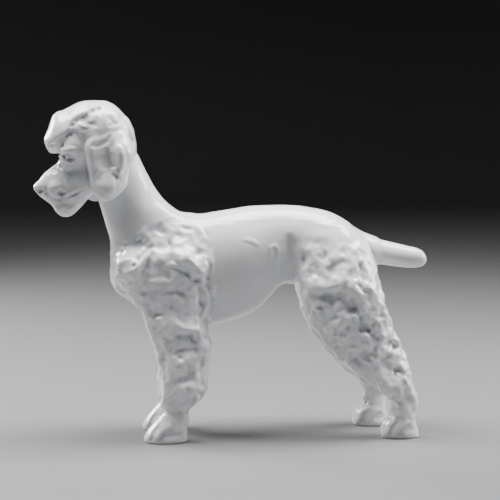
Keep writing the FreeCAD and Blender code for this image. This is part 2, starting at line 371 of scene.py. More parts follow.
def model_body(clay):
    """The smooth body down to the cuffs. Balls swell the chest, the shoulders and the thighs."""
    for side in (LEFT, RIGHT):
        rear = REAR_LEG if side == LEFT else step_forward(REAR_LEG)
        clay.add(level(FRONT_LEG, side), 2)
        clay.add(level(rear, side), 2)
    clay.add(across(TRUNK), 7)
    clay.add(level(NECK), 9)
    clay.add(across(TAIL), 6)
    clay.add(ball((-60, 0, 98), (12, 16, 17)), 8)
    for side in (LEFT, RIGHT):
        clay.add(ball((-44, side * 12, 95), (18, 13, 21)), 6)
        clay.add(ball((-57, side * 12, 99), (13, 13.4, 14)), 4)
        clay.add(ball((-30, side * 14.5, 99), (15, 12.8, 16)), 4)
        clay.add(ball((56, side * 11, 108), (18, 9, 13), pitch=20), 5)


def model_paws(clay):
    for side in (LEFT, RIGHT):
        model_paw(clay, FRONT_PAW, FRONT_TOES, side, FRONT_PAW_OUT)
        model_paw(clay, REAR_PAW, REAR_TOES[side], side, REAR_PAW_OUT)


# ---------------------------------------------------------------- the head

HEAD_TURN = math.radians(6)  # to the dog's left
HEAD_PIVOT = -70.0  # x of the upright line that it turns about
MUZZLE = [
    (-115, 145.8, 1.4, 1.4, 1.4), (-113.6, 145.9, 3, 2.9, 3.2), (-112, 146, 4.4, 4.8, 4.4),
    (-109.9, 146, 7, 6.6, 5.7), (-105.3, 146, 10.9, 10.2, 7.2), (-102, 146, 13.4, 13, 8.2),
    (-99.4, 146, 15.2, 15, 8.9), (-96, 146.5, 16, 16, 9.5), (-92, 147.5, 16, 16, 10.2),
    (-88, 149, 15.6, 14.6, 11), (-84, 151, 14.6, 12, 11.6), (-78, 154, 13, 10, 11.6), (-72, 156, 10, 8, 10),
]
EAR_OUTLINE = [
    (-87.6, 167.7), (-87.2, 171.4), (-85.2, 175.2), (-81.2, 178.4), (-75, 179.8), (-68.4, 179.6),
    (-64, 178), (-60.8, 172.6), (-58.4, 166.6), (-59.6, 162.2), (-62.4, 159), (-62.7, 153.4),
    (-63.4, 147.8), (-66.4, 143.6), (-70.2, 140.4), (-74.6, 138.6), (-78.6, 139.8), (-82, 143),
    (-83.8, 147), (-84.8, 152.6), (-86.2, 161.3),
]
# Strokes of the modelling tool, as seen from the side. Each has the points of its line, its half width and
# how far it stands out. A ledge also has the width of its steep side, on the right along the line.
EAR_STROKES = [
    ([(-82, 176), (-85, 171), (-84.8, 164), (-83.8, 156)], 4.5, 0.8),
    ([(-83.6, 170.4), (-79, 171), (-75, 173), (-73, 175.6)], 2.6, -0.6),
    ([(-70, 173), (-66, 171), (-62.6, 167)], 8, 0.6), ([(-75.4, 166), (-73.6, 157)], 7, -1.2),
    ([(-69, 170), (-67.2, 164), (-67, 158), (-69, 153.6)], 3.4, 1.0),
    ([(-63.6, 163), (-64.4, 158), (-65.4, 151)], 2.7, -0.3), ([(-72, 155), (-70.6, 157)], 2.6, 1.2),
    ([(-69.8, 154), (-69.6, 152)], 1.6, -0.5), ([(-78.6, 147.6), (-70.6, 147.6)], 9, 1.5),
]
FACE_STROKES = [
    ([(-98.2, 167.2), (-95.5, 167.8), (-92.8, 168.6)], 2.8, 0.8),
    ([(-99.6, 165.1), (-96, 165.5), (-92.4, 164.8)], 1.3, -0.5),
    ([(-98.6, 163.8), (-95.8, 163.1), (-93.2, 162.2)], 3, -1.1),
    ([(-97.3, 163.7), (-95.7, 163.2)], 1.9, 1.5), ([(-97.9, 163.9), (-97.5, 163.6)], 1.1, -0.8),
    ([(-99.8, 163), (-97.6, 161.2), (-94.6, 160.5), (-92.4, 162)], 1.4, 1.2),
    ([(-98, 158.6), (-95, 157.4)], 3.4, 1.0), ([(-99.5, 159), (-99.9, 156.8)], 1.5, -0.4),
    ([(-104.4, 156.4), (-102.6, 155.2)], 2.2, -0.8), ([(-92, 158), (-92.8, 153), (-91.6, 148)], 6.5, -1.5),
    ([(-103.4, 148.4), (-102.8, 146.4)], 5, 0.5), ([(-100.1, 145), (-99.7, 142.2)], 3.2, -1.9),
    ([(-97.4, 150.5), (-96.4, 146.6)], 1.3, 0.5), ([(-95.4, 149), (-94.8, 145.4)], 1.2, 0.4),
    ([(-108.4, 146.4), (-107.6, 143), (-104.8, 141)], 1.9, -0.6),
    ([(-113, 145.2), (-110, 144.6)], 2.6, -2.4), ([(-109.8, 142), (-108.2, 140.4)], 1.9, 0.8),
    ([(-106, 140.2), (-101, 139.6), (-96.6, 140.7), (-93, 142.6), (-89.4, 145.2)], 1.9, -0.4),
    ([(-96, 143), (-92.4, 144.7), (-89.2, 146.6)], 1.5, 0.4), ([(-94, 140.8), (-91.4, 141.7)], 1.1, 0.5),
    ([(-103, 134.4), (-100.6, 132.4)], 3, 0.8), ([(-99, 137.4), (-93, 137)], 3.6, -0.8),
]
TOPKNOT_STROKES = [
    ([(-98, 172), (-97.2, 178), (-94.9, 183.7), (-91.4, 187.4), (-88, 189), (-82, 190)], 8, 0.65, 3.4),
    ([(-86.4, 187.6), (-84.6, 190.6), (-81.4, 192.6), (-77.6, 192.4)], 3.4, 1.0),
    ([(-92, 183.6), (-90, 183)], 4, -0.6), ([(-87.6, 186.4), (-86.4, 183.4)], 3.6, -0.7),
    ([(-90, 182.6), (-88, 181.2), (-85.4, 180.4)], 2.2, 0.6), ([(-85, 187), (-84, 183)], 2.2, 0.5),
    ([(-83.4, 182.6), (-81, 181.4)], 3, -0.7), ([(-82.5, 189.8), (-81.9, 187.4)], 3, -0.7),
    ([(-78.8, 191), (-78.4, 188.6)], 3.4, -0.8), ([(-80.8, 189.6), (-80.3, 186)], 2, 0.4),
    ([(-95, 178.6), (-91.2, 177.9)], 2, 0.7), ([(-94.6, 180.9), (-92.6, 181.4)], 2.2, -0.6),
    ([(-74, 186), (-71, 183)], 4, -0.7), ([(-66.6, 187), (-64, 181)], 3.4, -0.9),
    ([(-60.4, 176), (-58.6, 171)], 3.4, -1.2), ([(-63.2, 185.5), (-61.2, 179), (-58, 173.5)], 2.2, 0.9),
    ([(-90.4, 176), (-87.8, 170)], 5.4, -0.5), ([(-74, 181.5), (-68, 182.6)], 2.4, -0.6),
]
FLANK_STROKES = [
    ([(30.6, 116), (31, 104), (29, 92)], 8, -1.5), ([(28.6, 114), (36, 114)], 7, -0.4),
    ([(19.6, 105.4), (19.6, 111.6), (22.4, 113), (24.6, 110), (23.8, 106.6)], 1.4, 0.4),
    ([(4.6, 117), (8.4, 115.8), (12, 113.4)], 2.2, 0.4), ([(20, 96), (12, 80)], 8, -0.7),
    ([(-8, 76), (2, 72)], 4, 0.4),
]


def turned(form):
    """The form after the head has turned to the dog's left."""
    c, s = math.cos(HEAD_TURN), math.sin(HEAD_TURN)

    def distance(x, y, z):
        return form.distance(*to_head(x, y), z)

    corners = [(x - HEAD_PIVOT, y) for x in (form.low[0], form.high[0]) for y in (form.low[1], form.high[1])]
    xs = [HEAD_PIVOT + x * c - y * s for x, y in corners]
    ys = [x * s + y * c for x, y in corners]
    return Form((min(xs), min(ys), form.low[2]), (max(xs), max(ys), form.high[2]), distance)


def to_head(x, y):
    """Where a point of the row frame lies in the head before it turned."""
    c, s = math.cos(HEAD_TURN), math.sin(HEAD_TURN)
    return HEAD_PIVOT + (x - HEAD_PIVOT) * c + y * s, -(x - HEAD_PIVOT) * s + y * c


def line_distance(points, x, z):
    """Distance to a line in a side view, the side that it is passed on (1 for left), and how far along."""
    p = np.array(points, float)
    lengths = np.hypot(*np.diff(p, axis=0).T)
    starts = np.concatenate([[0], np.cumsum(lengths)])
    best, hand, along = np.float32(FAR * FAR), 1.0, 0.0
    for a, b, start, length in zip(p[:-1], p[1:], starts, lengths):
        ab = b - a
        t = np.clip(((x - a[0]) * ab[0] + (z - a[1]) * ab[1]) / (ab @ ab), 0, 1)
        dx, dz = x - a[0] - t * ab[0], z - a[1] - t * ab[1]
        d = dx * dx + dz * dz
        near = d < best
        hand = np.where(near, np.sign(ab[0] * (z - a[1]) - ab[1] * (x - a[0])), hand)
        along = np.where(near, (start + t * length) / starts[-1], along)
        best = np.where(near, d, best)
    return np.sqrt(best), hand, along


def stroke_parts(stroke):
    points, width, rise, *steep = stroke
    return np.array(points, float), width, rise, steep[0] if steep else 0


def stroke_height(points, width, rise, steep, x, z, sharp=True):
    """The height of a stroke in a side view. A sharp one has flat flanks and a crest, others are round."""
    d, hand, along = line_distance(points, x, z)
    if steep:
        fade = ease(np.minimum(along, 1 - along) / 0.15)
        lit = np.clip(1 - d / width, 0, 1)
        fall = np.clip(1 - 1.8 * d / steep, -0.8, 1)
        shaded = fall * np.clip((width + steep - d) / width, 0, 1)
        return rise * fade * np.where(hand > 0, lit, shaded)
    swell = 0.55 + 0.45 * np.sqrt(np.clip(4 * along * (1 - along), 0, 1))
    t = np.clip(d / (width * swell), 0, 1)
    return rise * swell * ((1 - t) ** 1.5 if sharp else (1 - t * t) ** 2)


HALF_WIDTH = 40  # more than the dog's
WANDER = 2.2  # how far a stroke lands off its place on the right side


class Tool:
    """What the strokes are worked in with: a hand that sways and presses unevenly."""

    def __init__(self, clay, scale, shake, uneven, seed):
        self.sway = [shake * clay.noise(scale, seed), shake * clay.noise(scale, seed + 1)]
        self.press = np.clip(1 + uneven * clay.noise(4.2, seed + 2), 0.2, 1.8)

    def paint(self, clay, strokes, side, start, depth, head=False, sharp=True, broad=1, strong=1, rng=None):
        """Works strokes into one side, fading in over depth from start millimetres off the middle.

        With rng, each stroke lands a little off its place and is pressed a little more or less.
        """
        for stroke in strokes:
            points, width, rise, steep = stroke_parts(stroke)
            width, steep, rise = width * broad, steep * broad, rise * strong
            if rng is not None:
                points = points + rng.normal(size=2) * WANDER
                rise = rise * rng.uniform(0.75, 1.2)
            low, high = points.min(0), points.max(0)
            margin = width + steep + (7 if head else 2)
            corners = (low[0], -HALF_WIDTH, low[1]), (high[0], HALF_WIDTH, high[1])
            cuts, x, y, z = clay.window(*corners, margin)
            if head:
                x, y = to_head(x, y)
            sway_x, sway_z = self.sway[0][cuts], self.sway[1][cuts]
            height = stroke_height(points, width, rise, steep, x + sway_x, z + sway_z, sharp)
            clay.field[cuts] -= height * self.press[cuts] * ease((side * y - start) / depth)


def outline_distance(points, x, z, smooth=8):
    """Distance to a closed smooth outline in a side view, below zero inside."""
    p = np.array(points, float)
    n = len(p)
    t = np.arange(smooth) / smooth
    curve = []
    for i in range(n):
        a, b, c, d = (p[(i + k) % n] for k in (-1, 0, 1, 2))
        for u in t:
            bend = (2 * a - 5 * b + 4 * c - d) * u**2 + (3 * b - a - 3 * c + d) * u**3
            curve.append(0.5 * (2 * b + (c - a) * u + bend))
    curve = np.array(curve)
    best, _, _ = line_distance(np.vstack([curve, curve[:1]]), x, z)
    inside = np.zeros(np.broadcast(x, z).shape, bool)
    for a, b in zip(curve, np.roll(curve, -1, 0)):
        crosses = (a[1] > z) != (b[1] > z)
        if a[1] != b[1]:
            inside ^= crosses & (x < (b[0] - a[0]) * (z - a[1]) / (b[1] - a[1]) + a[0])
    return np.where(inside, -best, best)


EAR_SHIFT = {LEFT: (0, 0), RIGHT: (-4, -1.4)}
EAR_LEAN_TOP = 26  # how far below the crown the ear starts to lean out


def ear(side):
    """A pillowy flap of the ear's outline, with a fold that swells at its rear. Its inner face is hidden."""
    shift_x, shift_z = EAR_SHIFT[side]
    fold = ball((-67, side * 15.2, 164.6), (7.2, 8, 9.6))

    def distance(x, y, z):
        x, z = x - shift_x, z - shift_z
        outline = outline_distance(EAR_OUTLINE, x, z)
        inward = np.clip(-outline / 7, 0, 1)
        face = 15 + 4.6 * np.sqrt(inward * (2 - inward)) + 0.07 * (CROWN - EAR_LEAN_TOP - z)
        flap = smooth_max(outline, 0.8 * (side * y - face), 2.0)
        return smooth_max(smooth_min(flap, fold.distance(x, y, z), 3), 8.5 - side * y, 1.0)

    low, high = np.min(EAR_OUTLINE, 0), np.max(EAR_OUTLINE, 0)
    inner, outer = sorted((side * 8.0, side * 24.0))
    low_corner = (low[0] + shift_x, inner, low[1] + shift_z)
    high_corner = (high[0] + shift_x, outer, high[1] + shift_z)
    return turned(Form(low_corner, high_corner, distance))


def ear_strokes(side):
    shift_x, shift_z = EAR_SHIFT[side]
    return [([(x + shift_x, z + shift_z) for x, z in points], *rest) for points, *rest in EAR_STROKES]


TOPKNOT = [
    (-108.4, 172.8, 1.6, 1.4, 2.8), (-107.4, 172.8, 3.4, 4, 5), (-106.2, 173, 5.4, 6, 7.2),
    (-105.2, 173, 8.6, 8, 8.8), (-104.2, 173.2, 12, 9, 10.2), (-102, 173.6, 14.6, 10, 12.2),
    (-98, 174.5, 15.3, 12, 14.4), (-93, 175.4, 17.2, 16.4, 16), (-87, 177.6, 17.8, 21, 17),
    (-80, 178, 17.8, 22, 18), (-73, 177.6, 17.5, 22, 17.8), (-68, 177, 15.4, 21, 16.4),
    (-63, 175.6, 12, 18, 14), (-59.4, 174.6, 9.8, 16, 11), (-57.2, 171, 8, 10, 7.6), (-56, 169, 3, 4, 3),
]
VISOR_EDGE = [
    (-112, 172.6), (-98, 172.6), (-94.4, 174.2), (-91, 172), (-88, 164), (-84, 150), (-50, 120),
]


def topknot():
    """The helmet of hair. Under its front a visor slants in from a crisp edge to a keel."""
    helmet = across(TOPKNOT)

    def distance(x, y, z):
        edge, = spline(VISOR_EDGE, x)
        under = 0.62 * (np.abs(y) - 8.6) - 0.785 * (z - edge)
        return smooth_max(helmet.distance(x, y, z), under, 0.5)

    return Form(helmet.low, helmet.high, distance)


def model_head(clay):
    """The skull, muzzle and topknot, with balls for the jowl, nose, brows, temples, flews and cheeks."""
    def add(form, blend):
        clay.add(turned(form), blend)

    def cut(form, blend):
        clay.cut(turned(form), blend)

    add(across(MUZZLE), 6)
    add(ball((-84, 0, 163), (16, 12.4, 11.5)), 5)
    add(ball((-76, 0, 163), (15, 13.5, 14)), 5)
    add(ball((-97, 0, 137), (7.4, 7.6, 8.4)), 3)
    add(ball((-112.4, 0, 146.4), (2.8, 3.8, 2.6), pitch=-30), 1.2)
    for side in (LEFT, RIGHT):
        add(ball((-95.6, side * 8.6, 167.4), (4.8, 5.6, 3.2)), 3)
        add(ball((-89.4, side * 11.8, 171.6), (8.6, 4.8, 9)), 7)
        add(ball((-102.6, side * 6, 145.8), (4.8, 3.2, 4.6)), 2.5)
    for side in (LEFT, RIGHT):
        add(ball((-85, side * 7, 151), (8.5, 5.6, 9)), 4)
        add(ball((-94, side * 5, 163), (5.5, 4.4, 5)), 4)
    add(topknot(), 1)
    for side in (LEFT, RIGHT):
        cut(rope([(-104.6, side * 7, 170.2), (-99, side * 10.6, 170.2)], (1.4, 1.4)), 1.2)


# ---------------------------------------------------------------- the coat

def sample(field, clay, points):
    """Values of a field between grid points, by straight interpolation."""
    q = np.stack([np.interp(points[:, k], a, np.arange(len(a))) for k, a in enumerate(clay.axes)], 1)
    i = np.clip(np.floor(q).astype(int), 0, np.array(field.shape) - 2)
    t = (q - i).astype(np.float32)
    out = 0
    for dx in (0, 1):
        for dy in (0, 1):
            for dz in (0, 1):
                w = ((t[:, 0] if dx else 1 - t[:, 0]) * (t[:, 1] if dy else 1 - t[:, 1])
                     * (t[:, 2] if dz else 1 - t[:, 2]))
                out = out + w * field[i[:, 0] + dx, i[:, 1] + dy, i[:, 2] + dz]
    return out


def scatter(clay, mask, spacing, rng):
    """Points about spacing apart on the masked surface, with their outward normals."""
    index = np.argwhere((np.abs(clay.field) < 0.6 * STEP) & (mask > 0.35))
    index = index[rng.permutation(len(index))]
    points = np.stack([a[index[:, k]] for k, a in enumerate(clay.axes)], 1)
    cell = np.floor(points / spacing).astype(int)
    _, first = np.unique(cell, axis=0, return_index=True)
    first = first[rng.permutation(len(first))]
    points = points[first]
    kept, cells = [], {}
    for p in points:
        key = tuple(np.floor(p / spacing).astype(int))
        near = [q for dx in (-1, 0, 1) for dy in (-1, 0, 1) for dz in (-1, 0, 1)
                for q in cells.get((key[0] + dx, key[1] + dy, key[2] + dz), ())]
        if all((p - q) @ (p - q) > (0.62 * spacing) ** 2 for q in near):
            cells.setdefault(key, []).append(p)
            kept.append(p)
    kept = np.array(kept)
    slopes = [sample(clay.field, clay, kept + shift) - sample(clay.field, clay, kept - shift)
              for shift in 1.5 * np.eye(3)]
    normals = np.stack(slopes, 1)
    return kept, normals / np.linalg.norm(normals, axis=1)[:, None]


HAIR_FLOW = np.array((0.35, 0.0, -1.0))  # down and a little back
HAIR_WANDER = 1.1  # radians that a spoonful turns off that
# Spacing, length, width, depth and how softly the spoonfuls of each size meet.
SCOOPS = [(9.5, 11, 7.4, 1.5, 0.4), (5.6, 6, 4, 0.9, 0.25), (3.3, 3.2, 2, 0.42, 0.12)]


def scoops(clay, mask, spacing, length, width, depth, merge):
    """Overlapping spoonfuls out of the masked coat, which leave crests standing between them."""
    height = np.zeros(clay.field.shape, np.float32)
    rng = np.random.default_rng(SEED + int(spacing))
    points, normals = scatter(clay, mask, spacing, rng)
    for p, n in zip(points, normals):
        along = HAIR_FLOW - (HAIR_FLOW @ n) * n
        if np.linalg.norm(along) < 1e-3:
            along = np.cross(n, (0, 1, 0))
        along /= np.linalg.norm(along)
        beside = np.cross(n, along)
        turn = rng.normal() * HAIR_WANDER
        cos, sin = math.cos(turn), math.sin(turn)
        along, beside = along * cos + beside * sin, beside * cos - along * sin
        a, b = length * rng.uniform(0.7, 1.4), width * rng.uniform(0.7, 1.4)
        low, lean, tip = depth * rng.uniform(0.3, 1.3), rng.uniform(-0.6, 0.6), rng.uniform(-0.5, 0.5)
        cuts, x, y, z = clay.window(p - max(a, b), p + max(a, b), 0)
        dx, dy, dz = x - p[0], y - p[1], z - p[2]
        u = (dx * along[0] + dy * along[1] + dz * along[2]) / a
        v = (dx * beside[0] + dy * beside[1] + dz * beside[2]) / b
        w = (dx * n[0] + dy * n[1] + dz * n[2]) / 7
        shape = (u * u + v * v - 1 + lean * v + tip * u) * low + 3 * np.maximum(np.abs(w) - 0.6, 0)
        height[cuts] = smooth_min(height[cuts], shape, merge)
    return height


# The borders of the coat, as seen from the side.
MANE_REAR = [
    (56, -14.4), (66, -14.8), (70, -14.4), (75, -12.4), (80, -11.3), (84, -12.3), (88, -12.3),
    (89.6, -10.8), (91.4, -12.5), (94, -13.8), (100, -13.2), (105, -13), (112, -14), (119, -15.4),
    (124, -18), (130, -23), (140, -30),
]
MANE_TOP = [
    (-80, 107), (-72, 108.5), (-69, 110.4), (-66.5, 113), (-63, 116), (-59, 115.6), (-56, 118.4),
    (-52, 121.8), (-48, 124), (-42, 126.8), (-36, 128.8), (-30, 130.4), (-24, 131), (-16, 130), (0, 128),
]
HIND_FRONT = [
    (0, 30), (60, 30), (80, 34), (88, 36.4), (95, 36.8), (105, 38), (112, 38.4), (120, 39.4), (130, 41),
]
HIND_REAR = [(90, 88), (94, 86), (100, 84), (106, 82), (112, 79.4), (117, 76), (126, 66)]
CUFF = 13.4  # where the coat ends above the paws

# Strokes on the left side of the mane and of the legs.
MANE_STROKES = [
    ([(-73, 94.6), (-66, 96), (-60, 98), (-55.6, 101), (-51.8, 106), (-49, 112)], 12, 1.3, 3.4),
    ([(-38, 104.6), (-31, 102), (-25.4, 99.4), (-18.6, 94.6)], 10, 1.0, 3),
    ([(-54, 79.6), (-47, 78.6), (-38, 78.4), (-27, 79.4)], 7, 0.6),
    ([(-38, 119), (-38.6, 111), (-36.4, 105)], 4.4, -1.0),
    ([(-21.6, 124), (-19, 112), (-17.6, 100), (-17, 88), (-17, 74)], 3.4, 1.2),
    ([(-23.6, 110), (-22.4, 98), (-22.4, 86), (-22, 76)], 2.6, -0.8),
    ([(-58, 87), (-45, 85), (-34, 86)], 7, -0.4),
    ([(-47.4, 112.4), (-50.5, 110), (-54, 106.4), (-57.4, 102.6)], 2.1, -1.9),
    ([(-46, 110), (-49, 106.4), (-53.2, 101.6)], 2.8, 1.6),
    ([(-69, 107), (-68.8, 103), (-68.6, 97.6)], 1.1, -0.9), ([(-67.2, 108), (-66.8, 98)], 1.8, 0.9),
    ([(-67.4, 111.6), (-64.6, 110.4)], 1.9, 1.3), ([(-66, 107.4), (-64.6, 109.4)], 1.1, -0.9),
    ([(-65, 115.4), (-60, 116)], 2.2, 0.9), ([(-57.4, 117.4), (-51, 122.4)], 1.7, 1.0),
    ([(-55.6, 115.2), (-51.4, 118.2)], 1.3, -0.8), ([(-54, 114.4), (-51.6, 116)], 1.3, 0.9),
    ([(-50, 116.6), (-45, 120.4)], 2, 0.8), ([(-44.6, 115.4), (-47, 113)], 1.8, 0.8),
    ([(-39.4, 117.4), (-37, 111.6)], 1.2, -0.9), ([(-36, 118.6), (-31.4, 118.4)], 2, -1.0),
    ([(-40.9, 107), (-39.6, 101)], 1.2, 1.2), ([(-38, 103.8), (-33, 101.6)], 1.6, 1.2),
    ([(-43.6, 105), (-43, 101.4)], 1.6, -1.0), ([(-36, 104.8), (-30.4, 101.8), (-25.4, 99.2)], 1.9, -2.2),
    ([(-29, 100), (-27, 94.4)], 2, -1.4), ([(-28.4, 117), (-27, 108), (-22.6, 100), (-19.6, 95)], 5.4, 1.7),
    ([(-32.4, 123.6), (-29, 122.6), (-25.2, 121.2)], 1.5, -1.8), ([(-31, 121.4), (-26, 119.6)], 1.4, 0.8),
    ([(-25.6, 93.6), (-19.6, 93.2)], 1.9, -1.5), ([(-24, 112.4), (-23, 109.4)], 1.4, 0.6),
    ([(-23.4, 126), (-20.6, 118), (-18.6, 108), (-18, 100)], 2.2, 0.9),
    ([(-18.2, 98), (-18.8, 91), (-19, 88.4), (-17, 84), (-16.6, 77.4), (-19.4, 72)], 1.9, 1.7),
    ([(-15.6, 106), (-15.6, 97), (-15.6, 88)], 1.3, -1.3), ([(-20.8, 90), (-21, 84), (-20, 78)], 1.8, -1.1),
    ([(-14.2, 96), (-12.2, 89.8), (-13, 84), (-12.4, 79)], 1.3, 0.9), ([(-66, 91.6), (-62, 93)], 2.6, -1.1),
    ([(-57.6, 91.4), (-56.4, 93.6)], 1.2, 1.2), ([(-44.2, 93), (-42.2, 94.8), (-39.8, 94.2)], 1.3, 1.1),
    ([(-42.4, 91.4), (-39.4, 91.6)], 1.8, -0.9), ([(-47, 90), (-46, 86.6)], 2.6, -1.1),
    ([(-52, 95), (-45, 96.6)], 2.6, -1.0), ([(-30.2, 96), (-28.6, 94.6), (-28, 92.6)], 1.1, 1.5),
    ([(-29.4, 91.6), (-25.8, 89.8)], 1.1, 1.2), ([(-28.6, 83), (-27.6, 81.2)], 1.5, 1.2),
    ([(-35.6, 83.4), (-34.4, 81)], 1.5, 0.9), ([(-34, 88), (-31, 84.4)], 3, -0.6),
    ([(-52.6, 79.4), (-51.4, 77.8)], 1.6, 1.0), ([(-50.4, 84), (-49.6, 79.6)], 1.8, -0.9),
    ([(-56, 86.4), (-53, 84.4)], 2.2, 0.6), ([(-62, 86), (-60, 83)], 2, 0.7),
    ([(-43, 80), (-40, 84)], 2.4, 0.6), ([(-23, 86), (-24, 80)], 2.6, 0.6),
    ([(-24, 74), (-21, 71)], 1.6, -0.8), ([(-46.4, 74.4), (-38, 74.2)], 2.6, -0.6),
]
FORE_STROKES = [
    ([(-50.4, 71.4), (-47, 70.4)], 2, 0.9), ([(-47.6, 65.6), (-45, 66.4)], 1.6, -0.8),
    ([(-42.8, 69.6), (-41.4, 66.4)], 2, 1.3), ([(-44.4, 63.6), (-41, 62.6)], 1.2, -0.9),
    ([(-46.4, 60.4), (-45.8, 59.6)], 1.1, 0.9), ([(-43.4, 58.8), (-41.8, 58)], 1.7, 1.3),
    ([(-40, 59), (-35, 64.4), (-30, 66), (-25.6, 64.6), (-22.8, 60), (-21.6, 52)], 8, 1.1, 3.2),
    ([(-46, 56), (-44.6, 46), (-44, 36)], 3.6, 0.7), ([(-19.4, 60), (-17.6, 50), (-18, 40)], 3.6, 0.8),
    ([(-37, 57.6), (-30, 58.8), (-25.4, 57.4)], 4.2, 1.2), ([(-22.2, 67), (-20.6, 61)], 1.6, 1.2),
    ([(-43.8, 52), (-43.4, 46.4)], 1.6, 0.8), ([(-41, 55), (-40.6, 48)], 1.5, -0.7),
    ([(-37.4, 52.4), (-35.2, 53.6)], 1.2, 0.7), ([(-33.4, 50.2), (-31.6, 47.6)], 1.7, -1.2),
    ([(-35, 46), (-32.6, 45.6)], 1.1, 0.6), ([(-28.4, 46), (-27.6, 38)], 2.4, -1.2),
    ([(-17.4, 54.4), (-16.2, 52)], 1.4, 0.9), ([(-19, 50), (-20.6, 44)], 2.4, -0.8),
    ([(-38.4, 45), (-37.8, 43.4)], 1.4, 0.7), ([(-23.4, 47), (-23, 37)], 1.8, 0.7),
    ([(-41.4, 40), (-40.6, 32), (-41.4, 24)], 2.6, 0.7), ([(-36.6, 40), (-36, 30), (-36.8, 20)], 2.6, -0.9),
    ([(-32.4, 36), (-32, 28)], 2.4, 0.5), ([(-32.4, 24.4), (-32, 17)], 2.6, -1.0),
    ([(-25.4, 33), (-20, 29.6)], 2.2, 0.7), ([(-24, 26), (-28, 21.6)], 1.6, -0.8),
]
HIND_STROKES = [
    ([(41.6, 114), (40.4, 103), (39.4, 93), (41, 84)], 2.6, 1.0), ([(45.8, 100), (46.8, 94.6)], 2.7, -2.0),
    ([(50.4, 100), (51.4, 94)], 2.2, 0.8),
    ([(39, 88.4), (47.6, 87.8), (55, 89.8), (61.8, 93.8), (65.6, 87), (70.6, 80.2), (75, 73.4), 
     (77.6, 64)], 9, 1.4, 3.6),
    ([(56.6, 64), (60.2, 69), (64.2, 70.4), (67.4, 67.8), (70, 62.6)], 5, 1.0, 2.6),
    ([(52, 102), (57, 105.2), (61.4, 106), (66.4, 105), (71, 102.6)], 6, 0.6),
    ([(44, 78), (49, 80.6), (54.6, 79.4)], 4, 0.8, 2.6),
    ([(60, 57.4), (68, 58.6), (75, 56.4), (80, 51.6)], 6, 0.9, 3),
    ([(55, 101.6), (60, 102.4), (66, 101.6)], 2.2, -0.9), ([(50, 108), (53, 103.6)], 2, -0.8),
    ([(70, 102.4), (72, 99)], 1.9, -1.1), ([(67.6, 105.4), (71.6, 104)], 1.4, 0.8),
    ([(42, 84.8), (48, 83.8), (55, 85.6)], 2.7, -0.7), ([(45.6, 78), (48.8, 80.4)], 1.7, 1.3),
    ([(49.6, 76.4), (50.4, 72.6)], 1.8, -1.2), ([(54, 79.6), (52.8, 74.4)], 1.6, 0.7),
    ([(58.6, 83), (56.4, 77)], 2.4, 0.6), ([(64.8, 73.4), (69.6, 68.4), (71.8, 63)], 1.7, -1.2),
    ([(63.4, 65.6), (64, 61.6)], 2.8, -0.8), ([(60, 86), (65, 78.4), (70.4, 72.6)], 2.8, -1.0),
    ([(68.4, 91), (70.4, 88.4), (72.4, 84.4)], 1.5, -1.7), ([(74, 92), (76.6, 86)], 2, 0.8),
    ([(75, 76.2), (76.4, 74.4)], 1.4, -1.0), ([(74.4, 69), (75.6, 65), (77.2, 61)], 1.6, -1.9),
    ([(79.6, 71.4), (84.6, 69.8)], 1.5, -1.3), ([(78.8, 66), (81.6, 61.6)], 2.5, 1.3),
    ([(83.4, 67.4), (86, 65)], 1.7, -1.2), ([(80.8, 86), (82.4, 81)], 1.5, -1.0),
    ([(84.2, 90), (85.4, 78), (87.6, 68)], 1.6, 0.8), ([(79, 98), (80.4, 92)], 2.2, 0.7),
    ([(56, 58.4), (66, 57.6), (73, 59.4)], 3, -1.0), ([(77.6, 50.8), (80, 46.4)], 1.2, 1.4),
    ([(75.8, 48.6), (77.4, 45)], 1.6, -1.2), ([(72, 52.6), (74.6, 49)], 1.7, 0.6),
    ([(82, 59), (87, 61), (93, 58.4), (97, 52)], 6, 1.0, 3),
    ([(84, 41), (89, 43.6), (95, 42.4), (98, 38)], 5, 0.9, 2.8), ([(83, 57), (88.6, 52.4)], 2.7, -0.9),
    ([(84, 43.6), (88, 41.4)], 2.8, -1.1), ([(90.6, 58), (95, 54)], 2.6, 1.0),
    ([(93.4, 47.4), (97.4, 44)], 1.9, -1.1), ([(98.4, 50.4), (100.6, 46.4)], 2.2, 1.3),
    ([(96, 41.4), (97.4, 37)], 1.5, 0.9), ([(86, 47.6), (89.6, 45)], 1.9, 0.8),
    ([(48, 61.4), (53, 55), (60, 48.6)], 2.2, 0.7), ([(66, 50), (70, 44)], 2.6, -0.7),
    ([(96.4, 34), (99, 28)], 2.5, 0.9), ([(90, 34), (89.6, 22)], 3, -0.8),
    ([(94.6, 24), (96.4, 18)], 1.8, -0.8), ([(78, 38), (84, 34)], 2.4, 0.6),
]


def coat_mask(clay):
    """How far the hair is worked: 1 on the coat and 0 where it is clipped, with uneven borders."""
    x, y, z = clay.places()
    wave = clay.noise(6, SEED) * 0.7 + clay.noise(2.6, SEED + 1) * 0.35
    rear, = spline(MANE_REAR, z)
    top, = spline(MANE_TOP, x)
    mane = np.minimum(np.minimum(rear - x + 0.4 * wave, top - z + wave), z - CUFF + 0.5 * wave)
    thin = 1 - 0.8 * ease((x + 44) / 14) * ease((z - 114) / 9)
    coat = ease(mane / 1.5 + 0.5) * thin
    front, = spline(HIND_FRONT, z)
    breech = np.minimum(x - front + 0.4 * wave, z - CUFF + 0.5 * wave)
    breech = np.minimum(breech, (np.abs(y) - 3) + np.maximum(96 - z, 0))
    tail_side, = spline(HIND_REAR, z)
    breech = np.where(z > 90, np.minimum(breech, tail_side - x), breech)
    fade = 1 - ease((z - 108) / 14)
    crisp = ease(breech / 1.5 + 0.5)
    return np.where(x < FORE_END, np.where(z < 140, coat, 0), crisp * fade).astype(np.float32)


